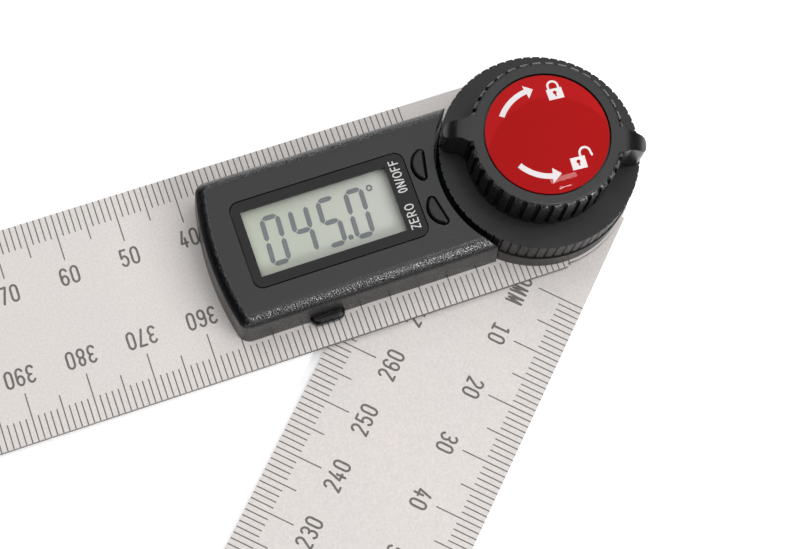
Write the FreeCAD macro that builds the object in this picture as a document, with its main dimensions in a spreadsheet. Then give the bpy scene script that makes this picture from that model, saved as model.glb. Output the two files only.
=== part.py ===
import FreeCAD, Part
import math
import os
import Sketcher
from FreeCAD import Placement, Rotation, Vector

# Digital protractor: two steel rule blades on a pivot, a display housing on the upper blade,
# and a knurled dial with a locking knob on the pivot bolt, which turns with the lower blade.
# Millimetres. The origin is on the pivot axis, on the underside of the lower blade.
# +Z is up, the upper blade runs along -X, and +Y is its outer edge.

SIZES = [
    ("blade_length", 300, "pivot axis to the square tip of each blade"),
    ("blade_width", 35, "width of each blade"),
    ("blade_thick", 1.2, "thickness of each blade"),
    ("blade_gap", 0.4, "space between the blades, filled by the thrust washer"),
    ("end_radius", 17, "round end of each blade about the pivot"),
    ("tip_corner", 2, "corner radius at the tip of each blade"),
    ("opening_angle", 45, "angle between the blades in this pose"),
    ("hang_hole_radius", 3, "hole for hanging the rule, near each tip"),
    ("hang_hole_inset", 10, "tip to the centre of the hanging hole"),
    ("bolt_head_radius", 6.5, "countersunk head, flush with the lower blade"),
    ("bolt_head_height", 0.9, "depth of the countersink"),
    ("bolt_radius", 4, "plain shank that the upper blade turns on"),
    ("bolt_flats", 6.4, "width across the two flats that carry the dial"),
    ("stud_radius", 3, "threaded end of the bolt"),
    ("flats_rise", 0.4, "flats above the knob's lower face"),
    ("stud_length", 4.6, "threaded end above the flats"),
    ("stud_chamfer", 0.4, "lead at the top of the stud"),
    ("running_gap", 0.05, "radial clearance of turning and keyed fits"),
    ("seat_gap", 0.05, "clearance round pieces that are fastened in a seat"),
    ("thrust_washer_radius", 14, "washer between the blades"),
    ("bushing_wall", 1.2, "wall of the pivot bushing"),
    ("bushing_flange_radius", 6.8, "flange of the pivot bushing"),
    ("bushing_flange_height", 0.6, "flange above the upper blade"),
    ("base_ring_radius", 16.6, "smooth ring under the dial"),
    ("base_ring_height", 4.1, "smooth ring above the upper blade"),
    ("board_thick", 0.8, "every circuit board"),
    ("encoder_inner", 6.6, "inner radius of the two sensor boards"),
    ("encoder_outer", 15.2, "outer radius of the two sensor boards"),
    ("encoder_margin", 0.2, "space round the sensor boards in their seats"),
    ("tail_length", 22.5, "pivot axis to the end of the sensor board's tail"),
    ("tail_root", 2, "part of the tail inside the sensor ring"),
    ("tail_width", 8, "width of the sensor board's tail"),
    ("tail_clearance", 0.3, "space round the tail in the walls it passes"),
    ("dial_lift", 0.3, "gap between the base ring and the dial"),
    ("dial_radius", 16.35, "knurled dial"),
    ("dial_height", 5.2, "knurled dial"),
    ("rotor_recess", 0.1, "rotor board above the dial's lower face"),
    ("knurl_count", 68, "grooves round the dial"),
    ("knurl_depth", 0.22, "depth of each groove"),
    ("knurl_width", 0.45, "width of each groove at the surface"),
    ("washer_radius", 10, "pressure washer under the knob"),
    ("washer_seat", 0.9, "depth of the washer's seat in the dial"),
    ("washer_gap", 0.2, "space round the pressure washer in its seat"),
    ("knob_lift", 0.3, "gap between the dial and the knob when locked"),
    ("knob_radius", 12.3, "fluted skirt of the knob"),
    ("knob_height", 7.9, "knob, lower face to the crown of its rim"),
    ("knob_shoulder", 0.9, "rounding of the rim's outer edge"),
    ("knob_wall", 1.6, "wall of the hollow skirt"),
    ("knob_hub_wall", 1.7, "wall round the brass insert"),
    ("knob_roof", 1.1, "thickness under the badge"),
    ("flute_count", 36, "grooves round the knob"),
    ("flute_radius", 0.42, "round bottom of each flute"),
    ("flute_depth", 0.6, "depth of each flute"),
    ("wing_reach", 16.2, "pivot axis to the end of each grip wing"),
    ("wing_root_width", 4.2, "width of a wing at the skirt"),
    ("wing_waist_width", 3.1, "width of a wing beyond its flared root"),
    ("wing_waist", 13.4, "pivot axis to the end of a wing's flared root"),
    ("wing_tip_width", 2.5, "width of a wing at its end"),
    ("wing_level", 11.9, "pivot axis to where a wing's top starts to fall"),
    ("wing_bow", 5, "radius of the curve in which a wing's top falls away from the rim"),
    ("wing_corner", 1.1, "rounding of a wing's end"),
    ("wing_angle", -22.5, "direction of the wings, from +X"),
    ("insert_radius", 5.2, "brass insert in the knob"),
    ("insert_height", 4.4, "brass insert in the knob"),
    ("insert_depth", 0.9, "insert above the knob's lower face"),
    ("badge_radius", 9.85, "domed disc on the knob"),
    ("badge_gap", 0.3, "groove between the disc and the rim"),
    ("badge_edge", 0.8, "height of the disc's edge"),
    ("badge_sink", 0.1, "disc's edge below the rim"),
    ("badge_dome", 0.8, "crown of the disc above its edge"),
    ("housing_height", 8.8, "housing above the upper blade"),
    ("housing_bow", 49, "radius of the bowed outer end"),
    ("housing_edge", 2.2, "rounding of the housing's outer corners and top edge"),
    ("housing_draft", 3, "lean of the outer walls, in degrees"),
    ("housing_wall", 1.4, "side walls"),
    ("pivot_wall", 0.8, "hollow-curved wall facing the dial"),
    ("dial_clearance", 0.75, "gap between the dial and the housing"),
    ("deck_thick", 1.6, "top wall of the housing"),
    ("base_plate_thick", 0.5, "bottom cover of the housing"),
    ("frame_inner_end", 21.4, "pivot axis to the window frame's nearer end"),
    ("frame_length", 29, "window frame"),
    ("frame_width", 14.5, "window frame"),
    ("frame_thick", 1.2, "window frame"),
    ("frame_corner", 1.5, "corner radius of the window frame"),
    ("frame_gap", 0.2, "groove round the window frame"),
    ("frame_lip", 0.5, "front lip that holds the window"),
    ("label_border", 3.25, "window frame between its nearer end and the display, with the words"),
    ("end_border", 1.45, "window frame beyond the display"),
    ("side_border", 1.7, "window frame on each side of the display"),
    ("end_margin", 5.45, "window frame to the crown of the housing's outer end"),
    ("deck_margin", 5.25, "window frame to each side of the housing"),
    ("window_margin", 0.7, "window plate hidden behind the lip, each side"),
    ("deck_opening", 0.45, "opening in the deck beyond the visible part, each side"),
    ("display_thick", 1.3, "liquid crystal panel"),
    ("display_margin", 1.4, "panel beyond the visible part, each side"),
    ("contact_strip_width", 1.2, "rubber contact strips under the panel"),
    ("connector_width", 2.1, "pin strip on the sensor board's tail"),
    ("board_margin", 0.4, "space between the board and the walls"),
    ("cell_radius", 10, "coin cell"),
    ("cell_thick", 3.2, "coin cell"),
    ("cell_inset", 15.45, "crown of the housing's outer end to the middle of the cell"),
    ("cell_offset", -0.6, "middle of the cell across the blade"),
    ("cell_gap", 0.15, "space round the cell in its tray"),
    ("tray_wall", 0.55, "rim of the battery tray"),
    ("tray_floor", 0.4, "floor of the battery tray"),
    ("tray_gap", 0.1, "sliding clearance of the battery tray"),
    ("tab_width", 5.8, "thumb tab of the battery tray"),
    ("tab_reach", 1.5, "thumb tab beyond the housing wall"),
    ("tab_height", 1.6, "thumb tab"),
    ("tab_root", 0.6, "part of the thumb tab inside the tray's front wall"),
    ("tab_corner", 1.3, "corner radius of the thumb tab"),
    ("tab_edge", 0.7, "rounding of the thumb tab's top edge"),
    ("contact_space", 0.3, "space for the contact leaves over the cell"),
    ("contact_leaf", 0.2, "thickness of the contact leaves"),
    ("leaf_length", 5, "contact leaves"),
    ("leaf_width", 2.4, "contact leaves"),
    ("leaf_spread", 5, "middle of the cell to the middle of each contact leaf"),
    ("button_angle", 12.1, "direction of each button from the blade's axis"),
    ("button_chord", 18.7, "pivot axis to the flat side of a button"),
    ("button_centre", 17.96, "pivot axis to the centre of a button's round side"),
    ("button_radius", 2.95, "round side of a button"),
    ("button_gap", 0.2, "space round a button"),
    ("button_rise", 0.6, "button above the deck"),
    ("button_flange", 0.45, "flange that keeps a button in"),
    ("button_flange_height", 0.6, "flange that keeps a button in"),
    ("button_travel", 0.4, "travel of a button"),
    ("button_edge", 0.5, "rounding of a button's top edge"),
    ("button_corner", 0.6, "corner radius of a button"),
    ("switch_radius", 0.9, "switch dome under a button"),
    ("switch_centre", 19.8, "pivot axis to a switch"),
    ("screw_radius", 0.9, "self-tapping screw"),
    ("screw_head_radius", 1.9, "countersunk head"),
    ("screw_head_height", 0.9, "countersunk head"),
    ("screw_length", 4.0, "whole screw"),
    ("boss_radius", 1.9, "screw boss in the housing"),
    ("boss_gap", 0.2, "space between a boss and the board"),
    ("boss_outer_inset", 5.55, "crown of the housing's outer end to the outer boss"),
    ("boss_inner_along", 25.4, "inner bosses from the pivot axis"),
    ("ring_screw_offset", 11, "ring screws from the pivot axis"),
]

doc = FreeCAD.newDocument("DigitalProtractor")
sheet = doc.addObject("Spreadsheet::Sheet", "Sizes")
for row, (name, value, meaning) in enumerate(SIZES, 1):
    sheet.set(f"A{row}", name)
    sheet.set(f"B{row}", str(value))
    sheet.setAlias(f"B{row}", name)
    sheet.set(f"C{row}", meaning)
doc.recompute()


class Size:
    """A length with its present value and its formula in terms of the sheet."""

    def __init__(self, value, formula):
        self.value = float(value)
        self.formula = formula

    def __add__(self, other):
        other = size(other)
        return Size(self.value + other.value, f"({self.formula} + {other.formula})")

    def __sub__(self, other):
        other = size(other)
        return Size(self.value - other.value, f"({self.formula} - {other.formula})")

    def __mul__(self, other):
        other = size(other)
        return Size(self.value * other.value, f"({self.formula} * {other.formula})")

    def __truediv__(self, other):
        other = size(other)
        return Size(self.value / other.value, f"({self.formula} / {other.formula})")

    def __neg__(self):
        return Size(-self.value, f"(0 - {self.formula})")


def size(number):
    """A plain number as a Size; a Size stays as it is."""
    return number if isinstance(number, Size) else Size(number, f"({number})")


def given(alias):
    """The sheet's value under this alias."""
    return Size(sheet.get(alias), f"Sizes.{alias}")


def cosine(angle):
    return Size(math.cos(math.radians(angle.value)), f"cos({angle.formula} * 1 deg)")


def sine(angle):
    return Size(math.sin(math.radians(angle.value)), f"sin({angle.formula} * 1 deg)")


def bind(thing, prop, length):
    thing.setExpression(prop, size(length).formula)


# Heights of the stack at the pivot, from the table upwards
LOWER_TOP = given("blade_thick")
UPPER_BOTTOM = LOWER_TOP + given("blade_gap")
UPPER_TOP = UPPER_BOTTOM + given("blade_thick")
RING_TOP = UPPER_TOP + given("base_ring_height")
DIAL_BOTTOM = RING_TOP + given("dial_lift")
DIAL_TOP = DIAL_BOTTOM + given("dial_height")
KNOB_BOTTOM = DIAL_TOP + given("knob_lift")
KNOB_TOP = KNOB_BOTTOM + given("knob_height")
WASHER_BOTTOM = DIAL_TOP - given("washer_seat")
STATOR_BOTTOM = RING_TOP - given("board_thick")
ROTOR_BOTTOM = DIAL_BOTTOM + given("rotor_recess")
ROTOR_TOP = ROTOR_BOTTOM + given("board_thick")
FLATS_TOP = KNOB_BOTTOM + given("flats_rise")
STUD_TOP = FLATS_TOP + given("stud_length")
INSERT_BOTTOM = KNOB_BOTTOM + given("insert_depth")
INSERT_TOP = INSERT_BOTTOM + given("insert_height")
BADGE_EDGE = KNOB_TOP - given("badge_sink")
BADGE_SEAT = BADGE_EDGE - given("badge_edge")
KNOB_HOLLOW_TOP = BADGE_SEAT - given("knob_roof")
BUSHING_TOP = UPPER_TOP + given("bushing_flange_height")
SCREW_TOP = UPPER_BOTTOM + given("screw_length") + given("seat_gap")

# Heights in the housing
HOUSING_TOP = UPPER_TOP + given("housing_height")
DECK_BOTTOM = HOUSING_TOP - given("deck_thick")
BASE_TOP = UPPER_TOP + given("base_plate_thick")
TRAY_BOTTOM = BASE_TOP + given("tray_gap")
CELL_BOTTOM = TRAY_BOTTOM + given("tray_floor")
CELL_TOP = CELL_BOTTOM + given("cell_thick")
BOARD_BOTTOM = CELL_TOP + given("contact_space")
TRAY_TOP = BOARD_BOTTOM - given("contact_leaf") - given("tray_gap")
BOARD_TOP = BOARD_BOTTOM + given("board_thick")
DISPLAY_BOTTOM = DECK_BOTTOM - given("display_thick")
FRAME_BOTTOM = HOUSING_TOP - given("frame_thick")
LIP_BOTTOM = HOUSING_TOP - given("frame_lip")
BUTTON_TOP = HOUSING_TOP + given("button_rise")
FLANGE_TOP = DECK_BOTTOM - given("tray_gap")
FLANGE_BOTTOM = FLANGE_TOP - given("button_flange_height")
SWITCH_TOP = FLANGE_BOTTOM - given("button_travel")

# Places along the housing, as distances from the pivot axis
FRAME_INNER = given("frame_inner_end")
FRAME_OUTER = FRAME_INNER + given("frame_length")
VIEW_INNER = FRAME_INNER + given("label_border")
VIEW_OUTER = FRAME_OUTER - given("end_border")
VIEW_HALF = given("frame_width") / 2 - given("side_border")
HOUSING_END = FRAME_OUTER + given("end_margin")
CELL_CENTRE = HOUSING_END - given("cell_inset")

# Widths and radii that several pieces share
HOLLOW_RADIUS = given("dial_radius") + given("dial_clearance")
SHELL_INNER_RADIUS = HOLLOW_RADIUS + given("pivot_wall")
SHELL_HALF = given("frame_width") / 2 + given("deck_margin")
SHELL_LEAN = given("housing_height") * sine(given("housing_draft")) / cosine(given("housing_draft"))
SHELL_BASE_HALF = SHELL_HALF + SHELL_LEAN
CAVITY_HALF = SHELL_HALF - given("housing_wall")
BOSS_ACROSS = CAVITY_HALF - given("boss_radius")
BUSHING_RADIUS = given("bolt_radius") + given("running_gap") + given("bushing_wall")
BORE_RADIUS = given("bolt_radius") + given("running_gap")
TRAY_FRONT = SHELL_HALF + SHELL_LEAN / 2
TRAY_HALF = given("cell_radius") + given("cell_gap") + given("tray_wall")
TAIL_ROOT = given("encoder_outer") - given("tail_root")
TAIL_GAP = given("tail_clearance")
TAIL_SLOT_HALF = given("tail_width") / 2 + TAIL_GAP
SCREW_HOLE_RADIUS = given("screw_radius") + given("seat_gap")

TOLERANCE = 1e-3
HALF_TURN = 180
# How far a turned cut reaches past the piece
CUT_MARGIN = 0.3

PARTS = []


def new_body(label):
    body = doc.addObject("PartDesign::Body", label)
    body.Label = label
    PARTS.append(body)
    return body


def sketch_on(body, role, height=None, turn=None):
    """An empty sketch on one of the body's origin planes, raised and turned if asked."""
    sketch = body.newObject("Sketcher::SketchObject", body.Label + "_sketch")
    plane = [item for item in body.Origin.OriginFeatures if item.Role == role][0]
    sketch.AttachmentSupport = [(plane, "")]
    sketch.MapMode = "FlatFace"
    if turn is not None:
        turning = Rotation(Vector(0, 0, 1), turn.value)
        sketch.AttachmentOffset = Placement(Vector(0, 0, 0), turning)
        bind(sketch, ".AttachmentOffset.Rotation.Angle", turn)
    if height is not None:
        bind(sketch, ".AttachmentOffset.Base.z", height)
    return sketch


def fix_point(sketch, edge, end, across, up):
    """Holds one end of an edge at the two given distances from the sketch's origin."""
    for kind, distance in (("DistanceX", across), ("DistanceY", up)):
        if distance is not None:
            constraint = Sketcher.Constraint(kind, -1, 1, edge, end, distance.value)
            index = sketch.addConstraint(constraint)
            bind(sketch, f"Constraints[{index}]", distance)


def fix_radius(sketch, edge, radius):
    index = sketch.addConstraint(Sketcher.Constraint("Radius", edge, radius.value))
    bind(sketch, f"Constraints[{index}]", radius)


def join(sketch, first, first_end, second, second_end):
    sketch.addConstraint(Sketcher.Constraint("Coincident", first, first_end, second, second_end))


def draw_polygon(sketch, corners):
    corners = [(size(across), size(up)) for across, up in corners]
    first = sketch.GeometryCount
    count = len(corners)
    for index in range(count):
        across, up = corners[index]
        next_across, next_up = corners[(index + 1) % count]
        start = Vector(across.value, up.value, 0)
        sketch.addGeometry(Part.LineSegment(start, Vector(next_across.value, next_up.value, 0)))
    for index in range(count):
        following = (index + 1) % count
        join(sketch, first + index, 2, first + following, 1)
        fix_point(sketch, first + index, 1, *corners[index])


def draw_circle(sketch, across, up, radius):
    across = size(across)
    up = size(up)
    radius = size(radius)
    centre = Vector(across.value, up.value, 0)
    edge = sketch.addGeometry(Part.Circle(centre, Vector(0, 0, 1), radius.value))
    fix_point(sketch, edge, 3, across, up)
    fix_radius(sketch, edge, radius)


def draw_rectangle(sketch, left, right, near, far):
    draw_polygon(sketch, [(left, near), (right, near), (right, far), (left, far)])


def pad(body, sketch, length):
    feature = body.newObject("PartDesign::Pad", body.Label + "_pad")
    feature.Profile = sketch
    bind(feature, "Length", length)
    body.Tip = feature
    return feature


def pocket(body, sketch, depth):
    """Cuts from the sketch's plane towards the underside."""
    feature = body.newObject("PartDesign::Pocket", body.Label + "_pocket")
    feature.Profile = sketch
    bind(feature, "Length", depth)
    body.Tip = feature
    return feature


def turn(body, corners, cut=False):
    """Revolves a profile of (radius, height) corners about the pivot axis."""
    sketch = sketch_on(body, "XZ_Plane")
    draw_polygon(sketch, corners)
    return turn_sketch(body, sketch, "PartDesign::Groove" if cut else "PartDesign::Revolution")


def turn_sketch(body, sketch, kind):
    """Revolves a sketch about the pivot axis, as a solid or as a cut."""
    feature = body.newObject(kind, body.Label + "_turned")
    feature.Profile = sketch
    feature.ReferenceAxis = (sketch, ["V_Axis"])
    feature.Angle = 360
    body.Tip = feature
    return feature


def round_edges(body, radius, wanted):
    """Rounds those edges of the body's last feature that the test picks."""
    doc.recompute()
    base = body.Tip
    names = [f"Edge{number}" for number, edge in enumerate(base.Shape.Edges, 1) if wanted(edge)]
    feature = body.newObject("PartDesign::Fillet", body.Label + "_edges")
    feature.Base = (base, names)
    bind(feature, "Radius", radius)
    body.Tip = feature
    return feature


def repeat_round(body, feature, count):
    """Repeats a feature round the pivot axis."""
    pattern = body.newObject("PartDesign::PolarPattern", body.Label + "_pattern")
    pattern.Originals = [feature]
    axis = [item for item in body.Origin.OriginFeatures if item.Role == "Z_Axis"][0]
    pattern.Axis = (axis, [""])
    pattern.Angle = 360
    bind(pattern, "Occurrences", count)
    body.Tip = pattern
    return pattern


def is_upright(edge):
    ends = [vertex.Point for vertex in edge.Vertexes]
    return len(ends) == 2 and abs(ends[0].x - ends[1].x) + abs(ends[0].y - ends[1].y) < TOLERANCE


def near(value, length):
    return abs(value - length.value) < TOLERANCE


def ring(label, inner, outer, bottom, top):
    """A plain turned ring."""
    body = new_body(label)
    turn(body, [(inner, bottom), (outer, bottom), (outer, top), (inner, top)])
    return body


def plate(label, left, right, half, bottom, top, corner=None):
    """A flat rectangular plate, even about the blade's axis, with rounded corners."""
    body = new_body(label)
    sketch = sketch_on(body, "XY_Plane", bottom)
    draw_rectangle(sketch, left, right, -half, half)
    pad(body, sketch, top - bottom)
    if corner is not None:
        round_edges(body, corner, is_upright)
    return body


def cut_box(body, left, right, low, high, bottom, top):
    sketch = sketch_on(body, "XY_Plane", top)
    draw_rectangle(sketch, left, right, low, high)
    return pocket(body, sketch, top - bottom)


def cut_circle(body, across, up, radius, bottom, top):
    sketch = sketch_on(body, "XY_Plane", top)
    draw_circle(sketch, across, up, radius)
    return pocket(body, sketch, top - bottom)


def screw_places():
    """Housing screws at the three bosses, and two for the base ring, with their seats."""
    inner = -given("boss_inner_along")
    outer = given("boss_outer_inset") - HOUSING_END
    offset = given("ring_screw_offset")
    return [
        (outer, BOSS_ACROSS), (inner, BOSS_ACROSS), (inner, -BOSS_ACROSS),
        (size(0), offset), (size(0), -offset),
    ]


def boss_places():
    return screw_places()[:3]


def ring_screw_places():
    return screw_places()[3:]


def blade(label, bottom):
    """A rule blade along -X: a rectangle with a round end about the pivot."""
    body = new_body(label)
    half = given("blade_width") / 2
    sketch = sketch_on(body, "XY_Plane", bottom)
    draw_rectangle(sketch, -given("blade_length"), 0, -half, half)
    pad(body, sketch, given("blade_thick"))
    length = given("blade_length")
    round_edges(body, given("tip_corner"),
                lambda edge: is_upright(edge) and near(edge.Vertexes[0].X, -length))
    sketch = sketch_on(body, "XY_Plane", bottom)
    draw_circle(sketch, 0, 0, given("end_radius"))
    pad(body, sketch, given("blade_thick"))
    hole = given("hang_hole_inset") - given("blade_length")
    cut_circle(body, hole, 0, given("hang_hole_radius"), bottom, bottom + given("blade_thick"))
    return body


def lower_blade():
    body = blade("lower_blade", size(0))
    gap = given("seat_gap")
    head = given("bolt_head_radius") + gap
    shank = given("bolt_radius") + gap
    deep = given("bolt_head_height")
    turn(body, [(0, 0), (head, 0), (shank, deep), (shank, LOWER_TOP), (0, LOWER_TOP)], cut=True)
    turning = Rotation(Vector(0, 0, 1), given("opening_angle").value)
    body.Placement = Placement(Vector(0, 0, 0), turning)
    bind(body, ".Placement.Rotation.Angle", given("opening_angle"))


def upper_blade():
    body = blade("upper_blade", UPPER_BOTTOM)
    cut_circle(body, 0, 0, BUSHING_RADIUS + given("seat_gap"), UPPER_BOTTOM, UPPER_TOP)
    for along, across in screw_places():
        cut_circle(body, along, across, SCREW_HOLE_RADIUS, UPPER_BOTTOM, UPPER_TOP)
        cut_countersink(body, along, across)


def cut_countersink(body, along, across):
    """A conical seat for a screw head, open at the upper blade's underside."""
    cone = body.newObject("PartDesign::SubtractiveCone", "countersink")
    bind(cone, "Radius1", given("screw_head_radius") + given("seat_gap"))
    bind(cone, "Radius2", SCREW_HOLE_RADIUS)
    bind(cone, "Height", given("screw_head_height"))
    bind(cone, ".Placement.Base.x", along)
    bind(cone, ".Placement.Base.y", across)
    bind(cone, ".Placement.Base.z", UPPER_BOTTOM)
    body.Tip = cone


def pivot_bolt():
    """Countersunk bolt: plain shank for the upper blade, two flats for the dial, threaded end."""
    body = new_body("pivot_bolt")
    head = given("bolt_head_radius")
    shank = given("bolt_radius")
    stud = given("stud_radius")
    lead = given("stud_chamfer")
    turn(body, [
        (0, 0), (head, 0), (shank, given("bolt_head_height")), (shank, FLATS_TOP), (stud, FLATS_TOP),
        (stud, STUD_TOP - lead), (stud - lead, STUD_TOP), (0, STUD_TOP),
    ])
    half = given("bolt_flats") / 2
    outside = shank * 2
    for low, high in ((half, outside), (-outside, -half)):
        cut_box(body, -outside, outside, low, high, DIAL_BOTTOM, FLATS_TOP)


def cut_keyed_bore(body, bottom, top):
    """A bore with two flats, to fit the bolt."""
    radius = BORE_RADIUS
    half = given("bolt_flats") / 2 + given("running_gap")
    sketch = sketch_on(body, "XY_Plane", top)
    reach = (radius.value ** 2 - half.value ** 2) ** 0.5
    circle = Part.Circle(Vector(0, 0, 0), Vector(0, 0, 1), radius.value)
    arcs = []
    flats = []
    for side in (1, -1):
        start = math.atan2(-half.value * side, reach * side)
        end = math.atan2(half.value * side, reach * side)
        arcs.append(sketch.addGeometry(Part.ArcOfCircle(circle, start, end)))
        begin = Vector(reach * side, half.value * side, 0)
        finish = Vector(-reach * side, half.value * side, 0)
        flats.append(sketch.addGeometry(Part.LineSegment(begin, finish)))
    for index in (0, 1):
        join(sketch, arcs[index], 2, flats[index], 1)
        join(sketch, flats[index], 2, arcs[1 - index], 1)
    for arc in arcs:
        join(sketch, arc, 3, -1, 1)
        fix_radius(sketch, arc, radius)
    top_flat, low_flat = flats
    sketch.addConstraint(Sketcher.Constraint("Horizontal", top_flat))
    sketch.addConstraint(Sketcher.Constraint("Horizontal", low_flat))
    fix_point(sketch, top_flat, 1, None, half)
    fix_point(sketch, low_flat, 1, None, -half)
    pocket(body, sketch, top - bottom)


def thrust_washer():
    ring("thrust_washer", BORE_RADIUS, given("thrust_washer_radius"), LOWER_TOP, UPPER_BOTTOM)


def pivot_bushing():
    """Flanged bushing in the upper blade, running on the bolt."""
    body = new_body("pivot_bushing")
    flange = given("bushing_flange_radius")
    turn(body, [
        (BORE_RADIUS, UPPER_BOTTOM), (BUSHING_RADIUS, UPPER_BOTTOM), (BUSHING_RADIUS, UPPER_TOP),
        (flange, UPPER_TOP), (flange, BUSHING_TOP), (BORE_RADIUS, BUSHING_TOP),
    ])


def base_ring():
    """Smooth ring on the upper blade: a bearing hub, and a seat for the fixed sensor board."""
    body = new_body("base_ring")
    outer = given("base_ring_radius")
    flange = given("bushing_flange_radius") + given("seat_gap")
    seat_inner = given("encoder_inner") - given("encoder_margin")
    seat_outer = given("encoder_outer") + given("encoder_margin")
    turn(body, [
        (flange, UPPER_TOP), (outer, UPPER_TOP), (outer, RING_TOP), (seat_outer, RING_TOP),
        (seat_outer, STATOR_BOTTOM), (seat_inner, STATOR_BOTTOM), (seat_inner, RING_TOP),
        (BORE_RADIUS, RING_TOP), (BORE_RADIUS, BUSHING_TOP), (flange, BUSHING_TOP),
    ])
    for along, across in ring_screw_places():
        cut_circle(body, along, across, SCREW_HOLE_RADIUS, UPPER_TOP, SCREW_TOP)
    cut_box(body, -outer - TAIL_GAP, -TAIL_ROOT, -TAIL_SLOT_HALF, TAIL_SLOT_HALF, STATOR_BOTTOM, RING_TOP)


def stator_board():
    """Fixed sensor board: a ring with a tail that reaches under the main board."""
    body = ring("stator_board", given("encoder_inner"), given("encoder_outer"), STATOR_BOTTOM, RING_TOP)
    half = given("tail_width") / 2
    sketch = sketch_on(body, "XY_Plane", STATOR_BOTTOM)
    draw_rectangle(sketch, -given("tail_length"), -TAIL_ROOT, -half, half)
    pad(body, sketch, given("board_thick"))


def rotor_board():
    """Sensor board that turns with the dial."""
    ring("rotor_board", given("encoder_inner"), given("encoder_outer"), ROTOR_BOTTOM, ROTOR_TOP)


def dial():
    """Knurled dial, keyed to the bolt, with a seat for the rotor board and one for the washer."""
    body = new_body("dial")
    outer = given("dial_radius")
    margin = given("encoder_margin")
    inner_seat = given("encoder_inner") - margin
    outer_seat = given("encoder_outer") + margin
    washer = given("washer_radius") + given("washer_gap")
    turn(body, [
        (0, DIAL_BOTTOM), (inner_seat, DIAL_BOTTOM), (inner_seat, ROTOR_TOP), (outer_seat, ROTOR_TOP),
        (outer_seat, DIAL_BOTTOM), (outer, DIAL_BOTTOM), (outer, DIAL_TOP), (washer, DIAL_TOP),
        (washer, WASHER_BOTTOM), (0, WASHER_BOTTOM),
    ])
    sketch = sketch_on(body, "XY_Plane", DIAL_TOP)
    deepest = outer - given("knurl_depth")
    outside = outer + given("knurl_depth")
    # The groove is half as wide at the surface as it is this far outside it
    flare = given("knurl_width")
    draw_polygon(sketch, [(deepest, 0), (outside, flare), (outside, -flare)])
    groove = pocket(body, sketch, given("dial_height"))
    repeat_round(body, groove, given("knurl_count"))
    cut_keyed_bore(body, DIAL_BOTTOM, WASHER_BOTTOM)


def pressure_washer():
    """Thick washer between the knob and the dial, keyed to the bolt so that only the knob turns."""
    body = new_body("pressure_washer")
    sketch = sketch_on(body, "XY_Plane", WASHER_BOTTOM)
    draw_circle(sketch, 0, 0, given("washer_radius"))
    pad(body, sketch, KNOB_BOTTOM - WASHER_BOTTOM)
    cut_keyed_bore(body, WASHER_BOTTOM, KNOB_BOTTOM)


def lock_knob():
    """Fluted knob with two grip wings, hollow below, with a seat for the domed disc on top."""
    body = new_body("lock_knob")
    outer = given("knob_radius")
    shoulder = given("knob_shoulder")
    turn(body, [(0, KNOB_BOTTOM), (outer, KNOB_BOTTOM), (outer, KNOB_TOP), (0, KNOB_TOP)])
    round_edges(body, shoulder, lambda edge: near(edge.BoundBox.ZMin, KNOB_TOP))
    # The wings' middle falls between two flutes
    sketch = sketch_on(body, "XY_Plane", KNOB_TOP, size(HALF_TURN) / given("flute_count"))
    draw_circle(sketch, outer + given("flute_radius") - given("flute_depth"), 0, given("flute_radius"))
    flute = pocket(body, sketch, given("knob_height"))
    repeat_round(body, flute, given("flute_count"))
    draw_wings(body)
    lower_wing_tops(body)
    seat = given("badge_radius") + given("badge_gap")
    turn(body, [(0, BADGE_SEAT), (seat, BADGE_SEAT), (seat, KNOB_TOP), (0, KNOB_TOP)], cut=True)
    bore = given("insert_radius") + given("seat_gap")
    hub = bore + given("knob_hub_wall")
    skirt = outer - given("knob_wall")
    for inside, outside in ((size(0), bore), (hub, skirt)):
        turn(body, [
            (inside, KNOB_BOTTOM), (outside, KNOB_BOTTOM),
            (outside, KNOB_HOLLOW_TOP), (inside, KNOB_HOLLOW_TOP),
        ], cut=True)
    turn_wings(body)


def draw_wings(body):
    """A bar across the knob whose two ends are the grip wings."""
    tip = given("wing_reach")
    root = given("knob_radius")
    waist = given("wing_waist")
    tip_half = given("wing_tip_width") / 2
    waist_half = given("wing_waist_width") / 2
    root_half = given("wing_root_width") / 2
    side = [(tip, tip_half), (waist, waist_half), (root, root_half)]
    far = side + [(-along, half) for along, half in reversed(side)]
    sketch = sketch_on(body, "XY_Plane", KNOB_BOTTOM)
    draw_polygon(sketch, far + [(along, -half) for along, half in reversed(far)])
    pad(body, sketch, given("knob_height"))
    round_edges(body, given("wing_corner"),
                lambda edge: is_upright(edge) and near(abs(edge.Vertexes[0].X), tip))


def lower_wing_tops(body):
    """Turns the tops of the wings down in a curve that starts level with the rim."""
    bow = given("wing_bow")
    level = given("wing_level")
    end = given("wing_reach") + CUT_MARGIN
    sweep = math.asin((end.value - level.value) / bow.value)
    low = KNOB_TOP.value - bow.value * (1 - math.cos(sweep))
    above = KNOB_TOP + CUT_MARGIN
    sketch = sketch_on(body, "XZ_Plane")
    circle = Part.Circle(Vector(level.value, KNOB_TOP.value - bow.value, 0), Vector(0, 0, 1), bow.value)
    fall = sketch.addGeometry(Part.ArcOfCircle(circle, math.pi / 2 - sweep, math.pi / 2))
    corners = [(level.value, KNOB_TOP.value), (level.value, above.value),
               (end.value, above.value), (end.value, low)]
    lines = [sketch.addGeometry(Part.LineSegment(Vector(*start, 0), Vector(*finish, 0)))
             for start, finish in zip(corners, corners[1:])]
    outline = [fall] + lines
    for index, edge in enumerate(outline):
        join(sketch, edge, 2, outline[(index + 1) % len(outline)], 1)
    fix_point(sketch, fall, 3, level, KNOB_TOP - bow)
    fix_radius(sketch, fall, bow)
    fix_point(sketch, lines[0], 1, level, None)
    fix_point(sketch, lines[0], 2, level, above)
    fix_point(sketch, lines[1], 2, end, above)
    fix_point(sketch, lines[2], 2, end, None)
    turn_sketch(body, sketch, "PartDesign::Groove")


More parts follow.
